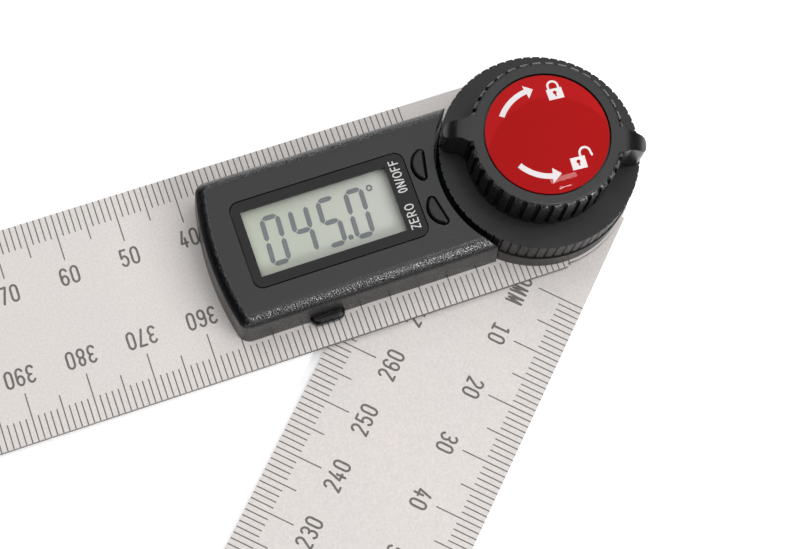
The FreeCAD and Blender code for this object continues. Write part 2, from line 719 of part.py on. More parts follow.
def turn_wings(body):
    turning = Rotation(Vector(0, 0, 1), given("wing_angle").value)
    body.Placement = Placement(Vector(0, 0, 0), turning)
    bind(body, ".Placement.Rotation.Angle", given("wing_angle"))


def knob_insert():
    """Brass nut moulded into the knob, running on the bolt's thread."""
    bore = given("stud_radius") + given("running_gap")
    ring("knob_insert", bore, given("insert_radius"), INSERT_BOTTOM, INSERT_TOP)


def knob_badge():
    """Domed disc on top of the knob."""
    body = new_body("knob_badge")
    radius = given("badge_radius")
    sketch = sketch_on(body, "XZ_Plane")
    rise = given("badge_dome")
    crown_top = BADGE_EDGE + rise
    bow = (radius * radius + rise * rise) / (rise * 2)
    centre_low = Vector(0, BADGE_SEAT.value, 0)
    edge_low = Vector(radius.value, BADGE_SEAT.value, 0)
    edge_high = Vector(radius.value, BADGE_EDGE.value, 0)
    centre_high = Vector(0, crown_top.value, 0)
    steepest = math.asin(radius.value / bow.value)
    circle = Part.Circle(Vector(0, crown_top.value - bow.value, 0), Vector(0, 0, 1), bow.value)
    floor = sketch.addGeometry(Part.LineSegment(centre_low, edge_low))
    side = sketch.addGeometry(Part.LineSegment(edge_low, edge_high))
    crown = sketch.addGeometry(Part.ArcOfCircle(circle, math.pi / 2 - steepest, math.pi / 2))
    axis = sketch.addGeometry(Part.LineSegment(centre_high, centre_low))
    outline = (floor, side, crown, axis)
    for index, edge in enumerate(outline):
        join(sketch, edge, 2, outline[(index + 1) % len(outline)], 1)
    fix_point(sketch, floor, 1, size(0), BADGE_SEAT)
    fix_point(sketch, side, 1, radius, BADGE_SEAT)
    fix_point(sketch, side, 2, radius, BADGE_EDGE)
    fix_point(sketch, axis, 1, size(0), crown_top)
    fix_radius(sketch, crown, bow)
    turn_sketch(body, sketch, "PartDesign::Revolution")


def draw_housing_outline(sketch, end, half, bow, hollow):
    """The housing in plan: bowed outer end, straight sides, hollow end round the dial."""
    sag = bow.value - (bow.value ** 2 - half.value ** 2) ** 0.5
    corner = -end.value + sag
    inner = -((hollow.value ** 2 - half.value ** 2) ** 0.5)
    near_right = Vector(inner, -half.value, 0)
    near_left = Vector(corner, -half.value, 0)
    far_left = Vector(corner, half.value, 0)
    far_right = Vector(inner, half.value, 0)
    near_side = sketch.addGeometry(Part.LineSegment(near_right, near_left))
    far_side = sketch.addGeometry(Part.LineSegment(far_left, far_right))
    spread = math.asin(half.value / bow.value)
    bow_centre = Vector(bow.value - end.value, 0, 0)
    bow_circle = Part.Circle(bow_centre, Vector(0, 0, 1), bow.value)
    outer_arc = sketch.addGeometry(Part.ArcOfCircle(bow_circle, math.pi - spread, math.pi + spread))
    facing = math.asin(half.value / hollow.value)
    hollow_circle = Part.Circle(Vector(0, 0, 0), Vector(0, 0, 1), hollow.value)
    inner_arc = sketch.addGeometry(Part.ArcOfCircle(hollow_circle, math.pi - facing, math.pi + facing))
    joins = [(near_side, 1, inner_arc, 2), (near_side, 2, outer_arc, 2),
             (far_side, 1, outer_arc, 1), (far_side, 2, inner_arc, 1)]
    for ends in joins:
        join(sketch, *ends)
    sketch.addConstraint(Sketcher.Constraint("Horizontal", near_side))
    sketch.addConstraint(Sketcher.Constraint("Horizontal", far_side))
    join(sketch, inner_arc, 3, -1, 1)
    fix_radius(sketch, inner_arc, hollow)
    fix_radius(sketch, outer_arc, bow)
    fix_point(sketch, outer_arc, 3, bow - end, size(0))
    fix_point(sketch, near_side, 1, None, -half)
    fix_point(sketch, far_side, 1, None, half)


def is_button_corner(edge, gap):
    """One of the two corners of a button's outline, at whichever side of the blade's axis."""
    radius = given("button_radius") + gap
    chord = given("button_chord") - gap
    inset = chord - given("button_centre")
    half = (radius.value ** 2 - inset.value ** 2) ** 0.5
    corner_distance = math.hypot(chord.value, half)
    place = edge.Vertexes[0].Point
    return is_upright(edge) and abs(math.hypot(place.x, place.y) - corner_distance) < TOLERANCE


def draw_button_outline(sketch, gap, flange=None):
    """A half-moon: round side away from the pivot, flat side towards it."""
    radius = given("button_radius") + gap
    if flange is not None:
        radius = radius + flange
    centre = -given("button_centre")
    chord = gap - given("button_chord")
    half = (radius.value ** 2 - (chord.value - centre.value) ** 2) ** 0.5
    start = math.atan2(half, chord.value - centre.value)
    circle = Part.Circle(Vector(centre.value, 0, 0), Vector(0, 0, 1), radius.value)
    arc = sketch.addGeometry(Part.ArcOfCircle(circle, start, 2 * math.pi - start))
    flat = sketch.addGeometry(Part.LineSegment(Vector(chord.value, -half, 0), Vector(chord.value, half, 0)))
    join(sketch, arc, 2, flat, 1)
    join(sketch, flat, 2, arc, 1)
    fix_point(sketch, arc, 3, centre, size(0))
    fix_radius(sketch, arc, radius)
    fix_point(sketch, flat, 1, chord, None)
    fix_point(sketch, flat, 2, chord, None)


def housing_shell():
    """Housing with leaning outer walls: a deck for the window frame and buttons, and a hollow below."""
    body = new_body("housing_shell")
    sketch = sketch_on(body, "XY_Plane", UPPER_TOP)
    draw_housing_outline(sketch, HOUSING_END + SHELL_LEAN, SHELL_BASE_HALF,
                         given("housing_bow") + SHELL_LEAN, HOLLOW_RADIUS)
    pad(body, sketch, given("housing_height"))
    round_edges(body, given("housing_edge"),
                lambda edge: is_upright(edge) and edge.Vertexes[0].X < -FRAME_OUTER.value)
    lean_outer_walls(body)
    round_edges(body, given("housing_edge"), is_shell_top_edge)
    hollow_shell(body)
    cut_window_seat(body)
    gap = given("button_gap")
    for side in (1, -1):
        sketch = sketch_on(body, "XY_Plane", HOUSING_TOP, given("button_angle") * side)
        draw_button_outline(sketch, gap)
        pocket(body, sketch, given("deck_thick"))
        round_edges(body, given("button_corner") + gap, lambda edge: is_button_corner(edge, gap))
    add_bosses(body)
    cut_tray_slot(body)
    cut_box(body, -given("tail_length"), -given("encoder_outer"), -TAIL_SLOT_HALF, TAIL_SLOT_HALF,
            STATOR_BOTTOM - TAIL_GAP, RING_TOP + TAIL_GAP)


def lean_outer_walls(body):
    """Leans the two long walls and the rounded outer end inwards, from the blade up."""
    doc.recompute()
    base = body.Tip
    walls = []
    for number, face in enumerate(base.Shape.Faces, 1):
        box = face.BoundBox
        if near(box.ZMin, UPPER_TOP) and near(box.ZMax, UPPER_TOP):
            floor = f"Face{number}"
        elif near(box.ZMax, HOUSING_TOP) and box.ZLength > TOLERANCE and box.XMin < -FRAME_OUTER.value:
            walls.append(f"Face{number}")
    feature = body.newObject("PartDesign::Draft", body.Label + "_draft")
    feature.Base = (base, walls)
    feature.NeutralPlane = (base, [floor])
    bind(feature, "Angle", given("housing_draft"))
    body.Tip = feature


def is_shell_top_edge(edge):
    """The housing's top edge, without the one that faces the dial."""
    if not (near(edge.BoundBox.ZMin, HOUSING_TOP) and near(edge.BoundBox.ZMax, HOUSING_TOP)):
        return False
    ends = [vertex.Point for vertex in edge.Vertexes]
    return not all(near(Vector(end.x, end.y, 0).Length, HOLLOW_RADIUS) for end in ends)


def hollow_shell(body):
    """The space under the deck, as wide as the walls leave."""
    wall = given("housing_wall")
    sketch = sketch_on(body, "XY_Plane", DECK_BOTTOM)
    draw_housing_outline(sketch, HOUSING_END - wall, CAVITY_HALF, given("housing_bow") - wall,
                         SHELL_INNER_RADIUS)
    pocket(body, sketch, DECK_BOTTOM - UPPER_TOP)


def cut_window_seat(body):
    """A seat for the frame in the deck, with an opening for the display below it."""
    gap = given("frame_gap")
    ends = (-FRAME_OUTER - gap, gap - FRAME_INNER)
    half = given("frame_width") / 2 + gap
    cut_box(body, *ends, -half, half, FRAME_BOTTOM, HOUSING_TOP)
    round_edges(body, given("frame_corner") + gap, lambda edge: is_upright(edge)
                and any(near(edge.Vertexes[0].X, end) for end in ends)
                and near(abs(edge.Vertexes[0].Y), half))
    margin = given("deck_opening")
    half = VIEW_HALF + margin
    cut_box(body, -VIEW_OUTER - margin, margin - VIEW_INNER, -half, half, DECK_BOTTOM, FRAME_BOTTOM)


def add_bosses(body):
    """Screw bosses that hang from the deck and stand on the bottom cover."""
    for along, across in boss_places():
        sketch = sketch_on(body, "XY_Plane", BASE_TOP)
        draw_circle(sketch, along, across, given("boss_radius"))
        pad(body, sketch, DECK_BOTTOM - BASE_TOP)
        cut_circle(body, along, across, SCREW_HOLE_RADIUS, BASE_TOP, SCREW_TOP)


def cut_tray_slot(body):
    """The opening for the battery tray in the near wall."""
    gap = given("tray_gap")
    half = TRAY_HALF + gap
    cut_box(body, -CELL_CENTRE - half, half - CELL_CENTRE, -SHELL_BASE_HALF - gap, -CAVITY_HALF, UPPER_TOP,
            TRAY_TOP + gap)


def housing_base():
    """Bottom cover: lies on the blade inside the walls, under the bosses."""
    body = new_body("housing_base")
    gap = given("tray_gap")
    inset = given("housing_wall") + gap
    sketch = sketch_on(body, "XY_Plane", UPPER_TOP)
    draw_housing_outline(sketch, HOUSING_END - inset, CAVITY_HALF - gap, given("housing_bow") - inset,
                         SHELL_INNER_RADIUS + gap)
    pad(body, sketch, given("base_plate_thick"))
    for along, across in boss_places():
        cut_circle(body, along, across, SCREW_HOLE_RADIUS, UPPER_TOP, BASE_TOP)


def window_frame():
    """Glossy frame round the display, with a rebate behind its lip for the window."""
    body = plate("window_frame", -FRAME_OUTER, -FRAME_INNER, given("frame_width") / 2, FRAME_BOTTOM,
                 HOUSING_TOP, given("frame_corner"))
    cut_box(body, -VIEW_OUTER, -VIEW_INNER, -VIEW_HALF, VIEW_HALF, FRAME_BOTTOM, HOUSING_TOP)
    rebate = given("window_margin") + given("seat_gap")
    half = VIEW_HALF + rebate
    cut_box(body, -VIEW_OUTER - rebate, rebate - VIEW_INNER, -half, half, FRAME_BOTTOM, LIP_BOTTOM)


def display_window():
    """Clear plate behind the frame's lip."""
    margin = given("window_margin")
    plate("display_window", -VIEW_OUTER - margin, margin - VIEW_INNER, VIEW_HALF + margin, FRAME_BOTTOM,
          LIP_BOTTOM)


def display_panel():
    """Liquid crystal panel under the deck."""
    margin = given("display_margin")
    plate("display_panel", -VIEW_OUTER - margin, margin - VIEW_INNER, VIEW_HALF + margin, DISPLAY_BOTTOM,
          DECK_BOTTOM)


def contact_strips():
    """Two rubber strips that join the panel's long edges to the board."""
    outer = VIEW_HALF + given("display_margin")
    inner = outer - given("contact_strip_width")
    strips = []
    for low, high in ((inner, outer), (-outer, -inner)):
        strip = doc.addObject("Part::Box", "contact_strip")
        bind(strip, "Length", VIEW_OUTER - VIEW_INNER)
        bind(strip, "Width", high - low)
        bind(strip, "Height", DISPLAY_BOTTOM - BOARD_TOP)
        bind(strip, ".Placement.Base.x", -VIEW_OUTER)
        bind(strip, ".Placement.Base.y", low)
        bind(strip, ".Placement.Base.z", BOARD_TOP)
        strips.append(strip)
    group("contact_strips", strips)


def group(label, pieces):
    """Several like solids in one node."""
    compound = doc.addObject("Part::Compound", label)
    compound.Label = label
    compound.Links = pieces
    PARTS.append(compound)


def circuit_board():
    """Main board under the deck, with clearance holes for the bosses."""
    body = new_body("circuit_board")
    inset = given("housing_wall") + given("board_margin")
    sketch = sketch_on(body, "XY_Plane", BOARD_BOTTOM)
    margin = given("board_margin")
    draw_housing_outline(sketch, HOUSING_END - inset, CAVITY_HALF - margin, given("housing_bow") - inset,
                         SHELL_INNER_RADIUS + margin)
    pad(body, sketch, given("board_thick"))
    hole = given("boss_radius") + given("boss_gap")
    for along, across in boss_places():
        cut_circle(body, along, across, hole, BOARD_BOTTOM, BOARD_TOP)


def board_connector():
    """Pin strip between the sensor board's tail and the main board."""
    end = TAIL_GAP - given("tail_length")
    half = given("tail_width") / 2 - TAIL_GAP
    plate("board_connector", end, end + given("connector_width"), half, RING_TOP, BOARD_BOTTOM)


def button_switches():
    """A switch dome on the board under each button."""
    domes = []
    for side in (1, -1):
        dome = doc.addObject("Part::Cylinder", "switch_dome")
        bind(dome, "Radius", given("switch_radius"))
        bind(dome, "Height", SWITCH_TOP - BOARD_TOP)
        bind(dome, ".Placement.Base.x", -given("switch_centre") * cosine(given("button_angle")))
        bind(dome, ".Placement.Base.y", given("switch_centre") * sine(given("button_angle")) * side)
        bind(dome, ".Placement.Base.z", BOARD_TOP)
        domes.append(dome)
    group("button_switches", domes)


def button(label, side):
    """Half-moon button with rounded corners and edge, and a flange under the deck."""
    body = new_body(label)
    sketch = sketch_on(body, "XY_Plane", FLANGE_BOTTOM)
    draw_button_outline(sketch, size(0), given("button_flange"))
    pad(body, sketch, given("button_flange_height"))
    sketch = sketch_on(body, "XY_Plane", FLANGE_BOTTOM)
    draw_button_outline(sketch, size(0))
    pad(body, sketch, BUTTON_TOP - FLANGE_BOTTOM)
    round_edges(body, given("button_corner"), lambda edge: is_button_corner(edge, size(0)))
    round_edges(body, given("button_edge"),
                lambda edge: near(edge.BoundBox.ZMin, BUTTON_TOP) and near(edge.BoundBox.ZMax, BUTTON_TOP))
    angle = given("button_angle") * side
    body.Placement = Placement(Vector(0, 0, 0), Rotation(Vector(0, 0, 1), angle.value))
    bind(body, ".Placement.Rotation.Angle", angle)


def battery_tray():
    """Sliding tray: round behind the cell, a straight front in the wall, and a thumb tab."""
    body = new_body("battery_tray")
    centre = -CELL_CENTRE
    middle = given("cell_offset")
    front = -TRAY_FRONT
    sketch = sketch_on(body, "XY_Plane", TRAY_BOTTOM)
    draw_circle(sketch, centre, middle, TRAY_HALF)
    pad(body, sketch, TRAY_TOP - TRAY_BOTTOM)
    sketch = sketch_on(body, "XY_Plane", TRAY_BOTTOM)
    draw_rectangle(sketch, centre - TRAY_HALF, centre + TRAY_HALF, front, middle)
    pad(body, sketch, TRAY_TOP - TRAY_BOTTOM)
    cut_circle(body, centre, middle, given("cell_radius") + given("cell_gap"), CELL_BOTTOM, TRAY_TOP)
    half = given("tab_width") / 2
    sketch = sketch_on(body, "XY_Plane", TRAY_BOTTOM)
    outer = front - given("tab_reach")
    draw_rectangle(sketch, centre - half, centre + half, outer, front + given("tab_root"))
    pad(body, sketch, given("tab_height"))
    round_edges(body, given("tab_corner"),
                lambda edge: is_upright(edge) and near(edge.Vertexes[0].Y, outer))
    tab_top = TRAY_BOTTOM + given("tab_height")
    round_edges(body, given("tab_edge"), lambda edge: near(edge.BoundBox.ZMin, tab_top)
                and near(edge.BoundBox.ZMax, tab_top) and edge.BoundBox.YMin < front.value - TOLERANCE)


def coin_cell():
    body = new_body("coin_cell")
    sketch = sketch_on(body, "XY_Plane", CELL_BOTTOM)
    draw_circle(sketch, -CELL_CENTRE, given("cell_offset"), given("cell_radius"))
    pad(body, sketch, given("cell_thick"))


def battery_contacts():
    """Two spring leaves under the board, over the cell."""
    leaves = []
    for side in (1, -1):
        leaf = doc.addObject("Part::Box", "contact_leaf")
        middle = given("leaf_spread") * side - CELL_CENTRE
        bind(leaf, "Length", given("leaf_width"))
        bind(leaf, "Width", given("leaf_length"))
        bind(leaf, "Height", given("contact_leaf"))
        bind(leaf, ".Placement.Base.x", middle - given("leaf_width") / 2)
        bind(leaf, ".Placement.Base.y", given("cell_offset") - given("leaf_length") / 2)
        bind(leaf, ".Placement.Base.z", BOARD_BOTTOM - given("contact_leaf"))
        leaves.append(leaf)
    group("battery_contacts", leaves)


def case_screws():
    """Countersunk screws from the upper blade's underside, one for each place."""
    screws = []
    for along, across in screw_places():
        head = doc.addObject("Part::Cone", "screw_head")
        bind(head, "Radius1", given("screw_head_radius"))
        bind(head, "Radius2", given("screw_radius"))
        bind(head, "Height", given("screw_head_height"))
        shank = doc.addObject("Part::Cylinder", "screw_shank")
        bind(shank, "Radius", given("screw_radius"))
        bind(shank, "Height", given("screw_length"))
        for piece in (head, shank):
            bind(piece, ".Placement.Base.x", along)
            bind(piece, ".Placement.Base.y", across)
            bind(piece, ".Placement.Base.z", UPPER_BOTTOM)
        screw = doc.addObject("Part::Fuse", "case_screw")
        screw.Base = head
        screw.Tool = shank
        screws.append(screw)
    group("case_screws", screws)


for build_piece in (
        lower_blade, pivot_bolt, thrust_washer, dial, rotor_board, pressure_washer, lock_knob, knob_insert,
        knob_badge, upper_blade, pivot_bushing, base_ring, stator_board, housing_base, housing_shell,
        window_frame, display_window, display_panel, contact_strips, circuit_board, board_connector,
        button_switches, battery_tray, coin_cell, battery_contacts, case_screws):
    build_piece()
button("zero_button", 1)
button("on_off_button", -1)
doc.recompute()

failed = [item.Name for item in doc.Objects if {"Invalid", "Error"} & set(item.State)]
if failed:
    raise RuntimeError(f"These objects failed: {failed}")
for part in PARTS:
    if part.Shape.isNull() or not part.Shape.isValid():
        raise RuntimeError(f"{part.Label} has no valid shape")

os.makedirs("parts", exist_ok=True)
for part in PARTS:
    part.Shape.exportStep(f"parts/{part.Label}.step")
    box = part.Shape.BoundBox
    print(f"{part.Label}: {len(part.Shape.Solids)} solids, {part.Shape.Volume:.1f} mm3, "
          f"z {box.ZMin:.2f} to {box.ZMax:.2f}")
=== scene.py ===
import math

import bmesh
import bpy
from mathutils import Matrix, Vector


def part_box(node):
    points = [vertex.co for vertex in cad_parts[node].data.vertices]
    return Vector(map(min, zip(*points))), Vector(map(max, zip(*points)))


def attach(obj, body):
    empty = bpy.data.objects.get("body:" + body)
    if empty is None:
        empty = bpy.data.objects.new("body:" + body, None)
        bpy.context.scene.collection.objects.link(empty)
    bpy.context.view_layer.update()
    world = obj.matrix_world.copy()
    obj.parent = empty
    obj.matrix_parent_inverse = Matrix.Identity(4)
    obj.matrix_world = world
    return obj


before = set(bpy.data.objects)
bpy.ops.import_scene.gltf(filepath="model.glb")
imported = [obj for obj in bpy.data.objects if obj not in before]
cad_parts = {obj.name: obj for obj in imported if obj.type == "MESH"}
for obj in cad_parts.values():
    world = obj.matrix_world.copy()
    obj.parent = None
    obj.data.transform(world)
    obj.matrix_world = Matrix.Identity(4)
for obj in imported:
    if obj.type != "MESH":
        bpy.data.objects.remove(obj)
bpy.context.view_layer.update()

# Digital protractor. Lengths below are millimetres, and MM turns them into the scene's metres.
# The upper blade runs along -X from the pivot, and the lower blade is turned about +Z.

MM = 0.001


def top_of(node):
    """Height of a node's highest point, in millimetres."""
    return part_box(node)[1].z / MM


# The two blades
BLADE_WIDTH = 35.0
BLADE_LENGTH = 300.0
OPENING_ANGLE = 45.0
LOWER_TOP = top_of("lower_blade")
UPPER_TOP = top_of("upper_blade")
HOUSING_END = -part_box("housing_shell")[0].x / MM

# The scales on the blades
LONG_TICK = 8.0
MIDDLE_TICK = 6.0
SHORT_TICK = 4.0
TICK_WIDTH = 0.2
OUTER_START = 17.5
OUTER_COUNT = 280
INNER_COUNT = 297
INNER_VALUE = 300
LABEL_STEP = 10
LABEL_INSET = 10.75
DIGIT_HEIGHT = 2.68
DIGIT_WIDTH = 1.04
DIGIT_PITCH = 1.76
DIGIT_STROKE = 0.38
MARK_HEIGHT = 0.012

# The display
PANEL_TOP = top_of("display_panel")
FIRST_DIGIT = -44.9
LCD_PITCH = 4.7
LCD_HALF_WIDTH = 1.28
LCD_HALF_HEIGHT = 3.82
LCD_STROKE = 0.8
LCD_SLANT = 0.05
LCD_GAP = 0.12
LCD_POINT = 0.12
LCD_DOT = Vector((-33.35, -3.4))

# The disc on the knob
BADGE_TOP = top_of("knob_badge")
BADGE_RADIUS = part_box("knob_badge")[1].x / MM
BADGE_CROWN = 0.8
BADGE_BOW = (BADGE_RADIUS ** 2 + BADGE_CROWN ** 2) / (2 * BADGE_CROWN)
BADGE_BED = 0.005
BADGE_MARK = 0.03
ARROW_STEPS = 14
LOCK_TILT = math.radians(-3.5)

# Where the speckles on a plastic's roundings end, as distances from the pivot axis
WINGS_FROM = 12.4
EVERYWHERE = 1000.0

# The battery tray's front: its wall's lean in degrees, and its gaps in the slot
WALL_LEAN = 3.0
SKIRT_THICK = 0.4
SKIRT_REACH = 0.07
SKIRT_INSET = 0.01
SKIRT_FOOT = 0.03

# The floor
FLOOR_HALF = 6.0
FLOOR_DROP = 0.02

# The camera of the photograph
CAMERA_PLACE = Vector((-67.27, -70.748, 263.288))
CAMERA_AIM = Vector((-26.447, -9.375, 0))
CAMERA_ROLL = 14.579
CAMERA_LENS = 74.53


# Materials

class Surface:
    """A Principled material, with a few short ways to drive it from noise in the piece's own space."""

    def __init__(self, name, colour, roughness, metallic=0.0, **plain):
        self.material = bpy.data.materials.new(name)
        self.material.use_nodes = True
        tree = self.material.node_tree
        self.nodes = tree.nodes
        self.links = tree.links
        self.shader = next(node for node in self.nodes if node.type == "BSDF_PRINCIPLED")
        self.shader.inputs["Base Color"].default_value = (*colour, 1)
        self.shader.inputs["Roughness"].default_value = roughness
        self.shader.inputs["Metallic"].default_value = metallic
        for socket, value in plain.items():
            label = socket.replace("_", " ").title().replace("Ior", "IOR")
            self.shader.inputs[label].default_value = value
        self.space = self.nodes.new("ShaderNodeTexCoord").outputs["Object"]
        self.colour = colour
        self.roughness = roughness

    def noise(self, size, detail=2.0, stretch=(1, 1, 1)):
        """Noise whose patches are about this many millimetres across."""
        mapping = self.nodes.new("ShaderNodeMapping")
        mapping.inputs["Scale"].default_value = stretch
        texture = self.nodes.new("ShaderNodeTexNoise")
        texture.inputs["Scale"].default_value = 1 / (size * MM)
        texture.inputs["Detail"].default_value = detail
        self.links.new(self.space, mapping.inputs["Vector"])
        self.links.new(mapping.outputs["Vector"], texture.inputs["Vector"])
        return texture.outputs["Fac"]

    def spread(self, source, low, high, start=0.3, end=0.7):
        """Maps a noise's middle range to another range."""
        node = self.nodes.new("ShaderNodeMapRange")
        node.inputs["From Min"].default_value = start
        node.inputs["From Max"].default_value = end
        node.inputs["To Min"].default_value = low
        node.inputs["To Max"].default_value = high
        self.links.new(source, node.inputs["Value"])
        return node.outputs["Result"]

    def blend(self, factor, first, second):
        """A colour between two, by a factor that is a socket or a fixed share."""
        node = self.nodes.new("ShaderNodeMix")
        node.data_type = "RGBA"
        for socket, colour in (("A", first), ("B", second)):
            target = next(i for i in node.inputs if i.name == socket and i.type == "RGBA")
            if isinstance(colour, bpy.types.NodeSocket):
                self.links.new(colour, target)
            else:
                target.default_value = (*colour, 1)
        if isinstance(factor, bpy.types.NodeSocket):
            self.links.new(factor, node.inputs["Factor"])
        else:
            node.inputs["Factor"].default_value = factor
        return next(o for o in node.outputs if o.type == "RGBA")

    def tone(self, size, amount, detail=3.0):
        """Lightens and darkens the colour in patches."""
        factor = self.spread(self.noise(size, detail), 0, 1)
        darker = [value * (1 - amount) for value in self.colour]
        lighter = [min(1, value * (1 + amount)) for value in self.colour]
        self.links.new(self.blend(factor, darker, lighter), self.shader.inputs["Base Color"])
        return self

    def polish(self, size, amount):
        """Varies the roughness in patches."""
        varied = self.spread(self.noise(size, 3.0), self.roughness - amount, self.roughness + amount)
        self.links.new(varied, self.shader.inputs["Roughness"])
        return self

    def facing(self, axis, start, end, low=0.0, high=1.0):
        """Runs from low to high as this part of the normal goes from start to end."""
        geometry = self.nodes.new("ShaderNodeNewGeometry")
        parts = self.nodes.new("ShaderNodeSeparateXYZ")
        self.links.new(geometry.outputs["Normal"], parts.inputs["Vector"])
        return self.spread(parts.outputs[axis], low, high, start, end)

    def distance(self, across=0.0, up=0.0):
        """Distance in plan from the pivot axis, or from another place."""
        flat = self.nodes.new("ShaderNodeMapping")
        flat.inputs["Location"].default_value = (-across * MM, -up * MM, 0)
        flat.inputs["Scale"].default_value = (1, 1, 0)
        length = self.nodes.new("ShaderNodeVectorMath")
        length.operation = "LENGTH"
        self.links.new(self.space, flat.inputs["Vector"])
        self.links.new(flat.outputs["Vector"], length.inputs[0])
        return length.outputs["Value"]

    def calculate(self, operation, first, second):
        """One value from two, by a mathematical operation."""
        node = self.nodes.new("ShaderNodeMath")
        node.operation = operation
        self.links.new(first, node.inputs[0])
        self.links.new(second, node.inputs[1])
        return node.outputs["Value"]

    def relief(self, size, height, strength=1.0, detail=1.0, stretch=(1, 1, 1)):
        """Fine bumps, as in a moulded or rolled surface."""
        bump = self.nodes.new("ShaderNodeBump")
        bump.inputs["Distance"].default_value = height * MM
        if isinstance(strength, bpy.types.NodeSocket):
            self.links.new(strength, bump.inputs["Strength"])
        else:
            bump.inputs["Strength"].default_value = strength
        self.links.new(self.noise(size, detail, stretch), bump.inputs["Height"])
        self.links.new(bump.outputs["Normal"], self.shader.inputs["Normal"])
        return self


def moulded(name, colour, roughness, grain, height, shine=0.5):
    """Plastic with a stippled moulding and slightly uneven tone."""
    surface = Surface(name, colour, roughness, specular_ior_level=shine)
    return surface.tone(4.0, 0.06).polish(6.0, 0.04).relief(grain, height).material


def beyond(surface, radius, inside, outside):
    """One value up to this many millimetres from the pivot axis, and another from 0.3 mm farther out."""
    start = radius * MM
    return surface.spread(surface.distance(), inside, outside, start, start + 0.3 * MM)


def stippled(surface, flat, level, smooth_from):
    """Moulded plastic with this shine, speckled on its roundings up to a distance from the pivot axis."""
    near = beyond(surface, smooth_from, 1.0, 0.1)
    depth = surface.calculate("MINIMUM", surface.facing("Z", 0.985, 0.93, 0.15, 1.0), near)
    level_face = surface.facing("Z", flat - 0.06, flat)
    even = surface.calculate("MAXIMUM", level_face, surface.facing("Z", 0.5, 0.3))
    speckles = surface.spread(surface.noise(0.17, 0.0), 0.4, 1.0, 0.4, 0.62)
    plain = beyond(surface, smooth_from, 0.0, 1.0)
    grain = surface.calculate("MAXIMUM", surface.calculate("MAXIMUM", even, speckles), plain)
    shine = surface.calculate("MULTIPLY", level, grain)
    surface.links.new(shine, surface.shader.inputs["Specular IOR Level"])
    return surface.tone(4.0, 0.06).polish(6.0, 0.04).relief(0.24, 0.1, depth, 0.0).material


def deck_plastic():
    """The housing's rounded edges shine more, but its rounding at the -X end is dull."""
    surface = Surface("deck_plastic", (0.003, 0.003, 0.004), 0.28)
    edge = surface.facing("Z", 0.985, 0.93, 0.46, 1.6)
    upright = surface.facing("Z", 0.75, 0.45, 1.6, 0.36)
    end = surface.facing("X", -0.6, -0.05, 0.1, 1.6)
    dull = surface.calculate("MAXIMUM", end, surface.facing("Z", 0.35, 0.2))
    level = surface.calculate("MINIMUM", surface.calculate("MINIMUM", edge, upright), dull)
    return stippled(surface, 0.985, level, EVERYWHERE)


def knob_plastic():
    """The knob's upright faces shine less than its edges, and the wings shine evenly."""
    surface = Surface("knob_plastic", (0.004, 0.004, 0.004), 0.3)
    edge = surface.facing("Z", 0.92, 0.85, 0.45, 1.5)
    upright = surface.facing("Z", 0.75, 0.45, 1.5, 0.2)
    least = beyond(surface, WINGS_FROM, 0.2, 0.45)
    most = beyond(surface, WINGS_FROM, 1.5, 0.55)
    level = surface.calculate("MAXIMUM", surface.calculate("MINIMUM", edge, upright), least)
    return stippled(surface, 0.92, surface.calculate("MINIMUM", level, most), WINGS_FROM)


def turned_metal(name, colour, roughness):
    """Machined metal with fine marks."""
    surface = Surface(name, colour, roughness, 1.0)
    return surface.tone(3.0, 0.05).polish(2.0, 0.06).relief(0.15, 0.004).material


def blade_steel():
    """Matt, evenly mottled stainless steel, a little warmer in patches, with painted shade on its thin
    sides.
    """
    surface = Surface("blade_steel", (0.59, 0.556, 0.539), 0.55, 0.1)
    fine = surface.spread(surface.noise(0.35, 2.0), 0, 1, 0.35, 0.65)
    broad = surface.spread(surface.noise(14.0, 3.0), 0, 1)
    mottled = surface.blend(fine, (0.555, 0.521, 0.502), (0.685, 0.645, 0.624))
    warm = surface.blend(broad, (0.595, 0.573, 0.554), (0.645, 0.594, 0.578))
    face = surface.blend(0.5, mottled, warm)
    # Painted shade: the steep thin sides of the blades are darkened in colour, standing in for shadow
    # there.
    shade_painted_sides = surface.blend(surface.facing("Z", 0.7, 0.4), face, (0.16, 0.15, 0.145))
    surface.links.new(shade_painted_sides, surface.shader.inputs["Base Color"])
    return surface.polish(0.5, 0.05).relief(0.3, 0.006, detail=2.0).material


def display_face():
    """Reflective display, greener at its outer end and greyer towards the knob."""
    surface = Surface("display_face", (0.50, 0.53, 0.45), 0.55)
    place = surface.nodes.new("ShaderNodeSeparateXYZ")
    surface.links.new(surface.space, place.inputs["Vector"])
    along = surface.spread(place.outputs["X"], 0, 1, -0.049, -0.025)
    shade = surface.blend(along, (0.42, 0.452, 0.372), (0.466, 0.482, 0.441))
    surface.links.new(shade, surface.shader.inputs["Base Color"])
    return surface.relief(0.2, 0.002).material


def badge_red():
    """Red print under a clear, glossy dome, with a painted reflection that makes it a little lighter
    outside an arc.
    """
    surface = Surface("badge_red", (0.345, 0.002, 0.003), 0.5, coat_weight=1.0, coat_roughness=0.01,
                      coat_ior=1.14, specular_ior_level=0.03)
    # Painted reflection: the lighter red outside this arc stands in for the dome mirroring a bright area
    # above.
    outside = surface.spread(surface.distance(-0.3, -5.0), 0, 1, 0.0106, 0.011)
    patches = surface.spread(surface.noise(5.0, 3.0), 0, 1)
    inner = surface.blend(patches, (0.337, 0.0015, 0.002), (0.353, 0.0015, 0.002))
    colour = surface.blend(outside, inner, (0.4, 0.004, 0.005))
    surface.links.new(colour, surface.shader.inputs["Base Color"])
    return surface.material


def window_clear():
    """Clear, slightly grey plastic."""
    surface = Surface("window_clear", (0.5, 0.52, 0.5), 0.04, alpha=0.04)
    return surface.tone(8.0, 0.02).material


